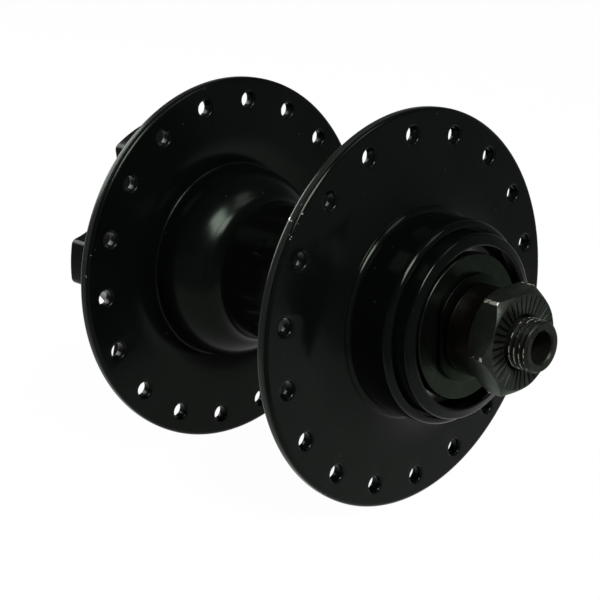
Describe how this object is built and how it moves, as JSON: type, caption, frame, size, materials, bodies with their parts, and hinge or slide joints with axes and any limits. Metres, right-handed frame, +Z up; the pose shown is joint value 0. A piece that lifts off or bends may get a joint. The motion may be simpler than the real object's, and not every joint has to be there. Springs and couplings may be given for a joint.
{
  "type": "disc brake front hub",
  "caption": "Bicycle front hub with drilled spoke flanges, bolt-on disc mount, cup-and-cone ball bearings and a hollow threaded axle with toothed locknuts",
  "frame": {"origin": "On the axle's centre line, midway between the outer faces of the two locknuts", "axes": "+Y along the axle to the rider's left, where the brake disc mounts; +X forward along the bicycle; +Z up"},
  "size_m": [0.0728, 0.108, 0.0728],
  "materials": {
    "shell_paint": "gloss black paint over a turned and machined aluminium body",
    "cap_paint": "gloss black pressed steel sheet",
    "cup_steel": "ground bearing steel",
    "axle_steel": "black oxide steel, bright on the thread crests",
    "cone_steel": "black oxide steel with a ground track",
    "shield_steel": "matte dark grey plated sheet",
    "washer_steel": "black oxide steel",
    "spacer_steel": "turned steel, browned and scratched",
    "nut_steel": "satin black oxide steel, chipped bright on corners",
    "ball_steel": "polished bearing balls",
    "cage_steel": "stamped sheet, lightly yellow plated"
  },
  "bodies": {
    "axle_group": {"axle": "axle_steel", "cone_left": "cone_steel", "cone_right": "cone_steel", "shield_left": "shield_steel", "shield_right": "shield_steel", "washer_left": "washer_steel", "washer_right": "washer_steel", "spacer_left": "spacer_steel", "spacer_right": "spacer_steel", "locknut_left": "nut_steel", "locknut_right": "nut_steel"},
    "hub": {"hub_shell": "shell_paint", "cup_left": "cup_steel", "cup_right": "cup_steel", "dust_cap_left": "cap_paint", "dust_cap_right": "cap_paint"},
    "ball_row_left": {"balls_left": "ball_steel", "ball_cage_left": "cage_steel"},
    "ball_row_right": {"balls_right": "ball_steel", "ball_cage_right": "cage_steel"}
  },
  "joints": [
    {"name": "hub_spin", "type": "hinge", "parent": "axle_group", "child": "hub", "pos_m": [0, 0, 0], "axis": [0, 1, 0], "continuous": true},
    {"name": "ball_row_left_spin", "type": "hinge", "parent": "axle_group", "child": "ball_row_left", "pos_m": [0, 0.0363, 0], "axis": [0, 1, 0], "continuous": true},
    {"name": "ball_row_right_spin", "type": "hinge", "parent": "axle_group", "child": "ball_row_right", "pos_m": [0, -0.0324, 0], "axis": [0, 1, 0], "continuous": true}
  ],
  "couplings": [
    {"joint": "ball_row_left_spin", "follows": "hub_spin", "ratio": 0.588},
    {"joint": "ball_row_right_spin", "follows": "hub_spin", "ratio": 0.588}
  ]
}
